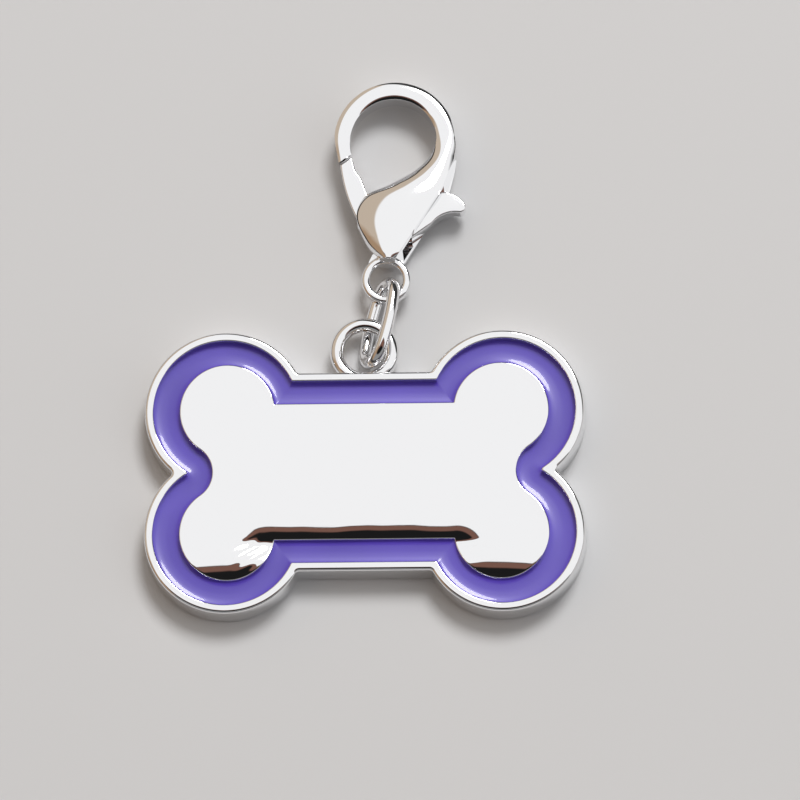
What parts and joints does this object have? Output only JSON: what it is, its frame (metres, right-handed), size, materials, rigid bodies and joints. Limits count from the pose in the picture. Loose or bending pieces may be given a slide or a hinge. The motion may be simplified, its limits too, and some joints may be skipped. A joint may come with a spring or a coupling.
{
  "type": "pet id tag",
  "caption": "Bone-shaped metal pet tag with an enamel border and a blank raised centre, on an oval link and a lobster clasp with a sprung gate.",
  "frame": {"origin": "centre of the tag's flat back", "axes": "+Z out of the tag's face, +Y from the tag to the clasp, +X to the right of the face"},
  "size_m": [0.0404, 0.0498, 0.0046],
  "materials": {
    "plated_metal": "polished bright plating",
    "enamel": "glossy fill",
    "plain_steel": "plain"
  },
  "bodies": {
    "tag": {"tag_body": "plated_metal", "enamel_border": "enamel"},
    "link": {"connecting_link": "plated_metal"},
    "clasp": {"clasp_body": "plated_metal", "pivot_pin": "plain_steel", "gate_spring": "plain_steel"},
    "lever": {"gate_lever": "plated_metal"}
  },
  "joints": [
    {"name": "link_swing", "type": "hinge", "parent": "tag", "child": "link", "pos_m": [0.00128, 0.01361, 0.00201], "axis": [0.8643, -0.1995, -0.4617], "range_deg": [-60, 75]},
    {"name": "clasp_swing", "type": "hinge", "parent": "link", "child": "clasp", "pos_m": [0.00201, 0.01806, 0.00223], "axis": [0, 0, 1], "range_deg": [-35, 45]},
    {"name": "gate_swing", "type": "hinge", "parent": "clasp", "child": "lever", "pos_m": [0.00251, 0.02306, 0.00223], "axis": [0, 0, -1], "range_deg": [0, 25], "stiffness_Nm_per_rad": 0.03, "springref_deg": -14.32, "deforming": ["gate_spring"]}
  ]
}
